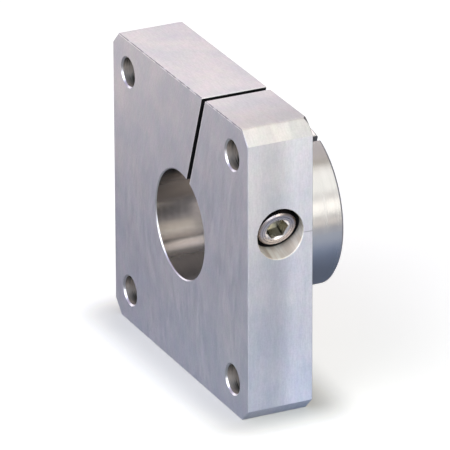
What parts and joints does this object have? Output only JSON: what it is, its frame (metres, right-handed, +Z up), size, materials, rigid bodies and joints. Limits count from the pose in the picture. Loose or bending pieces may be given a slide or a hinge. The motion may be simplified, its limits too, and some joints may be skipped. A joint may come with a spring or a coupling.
{
  "type": "shaft support block",
  "caption": "Square flange-mounted shaft support with a round rear hub, whose bore is split by a slot and closed on the shaft by a cap screw in the flange's side.",
  "frame": {"origin": "where the shaft's axis meets the front mounting face, the middle of the four holes", "axes": "+X to the right seen from the front, +Y along the shaft towards the hub, +Z up; the block stands on the flange's lower edge face"},
  "size_m": [0.0698, 0.0318, 0.0698],
  "materials": {
    "machined_aluminium": "bare, finely milled and turned",
    "screw_steel": "bare steel, smooth head"
  },
  "bodies": {
    "block": {"support_block": "machined_aluminium"},
    "screw": {"clamp_screw": "screw_steel"}
  },
  "joints": [
    {"name": "clamp_screw_turn", "type": "hinge", "parent": "block", "child": "screw", "pos_m": [0.00721, 0.00794, 0.0198], "axis": [0.9397, 0, -0.342], "range_deg": [0, 450]}
  ]
}
